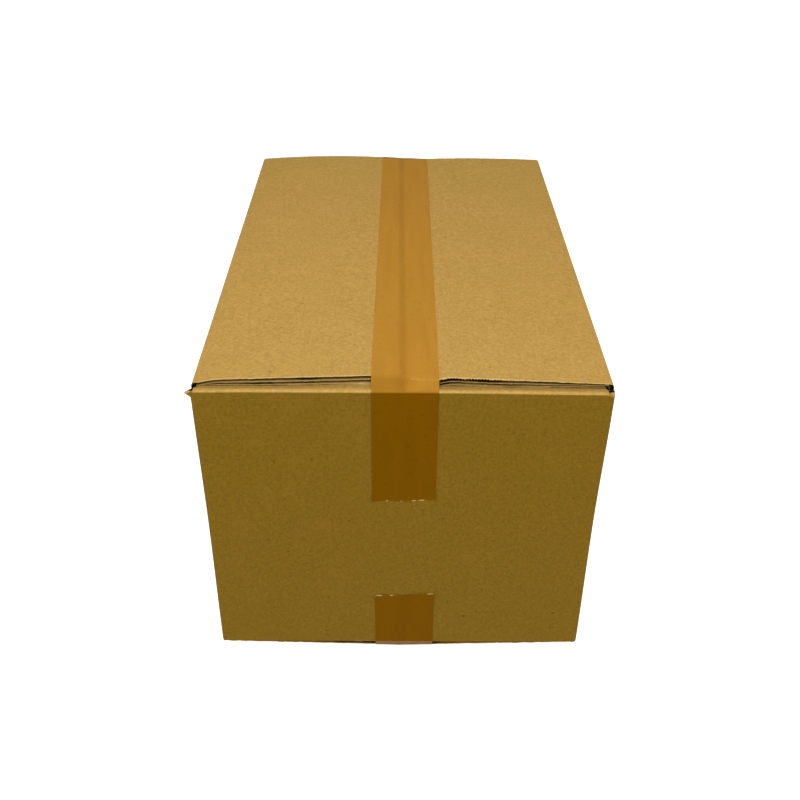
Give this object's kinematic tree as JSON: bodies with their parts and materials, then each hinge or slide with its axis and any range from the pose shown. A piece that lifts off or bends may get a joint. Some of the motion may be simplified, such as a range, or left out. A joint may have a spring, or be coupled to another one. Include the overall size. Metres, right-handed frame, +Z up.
{
  "type": "closed cardboard box",
  "caption": "Plain closed shipping carton in double-wall corrugated board, flaps shut and sealed with brown packing tape along the top and bottom seams.",
  "frame": {"origin": "centre of the footprint, on the floor", "axes": "+Z up, +Y along the length from the front end panel to the back one, +X along the width"},
  "size_m": [0.31, 0.4832, 0.2821],
  "materials": {
    "kraft_board": "matt brown kraft liner with fine fibres and specks",
    "packing_tape": "glossy translucent brown film"
  },
  "bodies": {
    "root": {"carton": "kraft_board", "top_tape": "packing_tape", "bottom_tape": "packing_tape"}
  },
  "joints": []
}
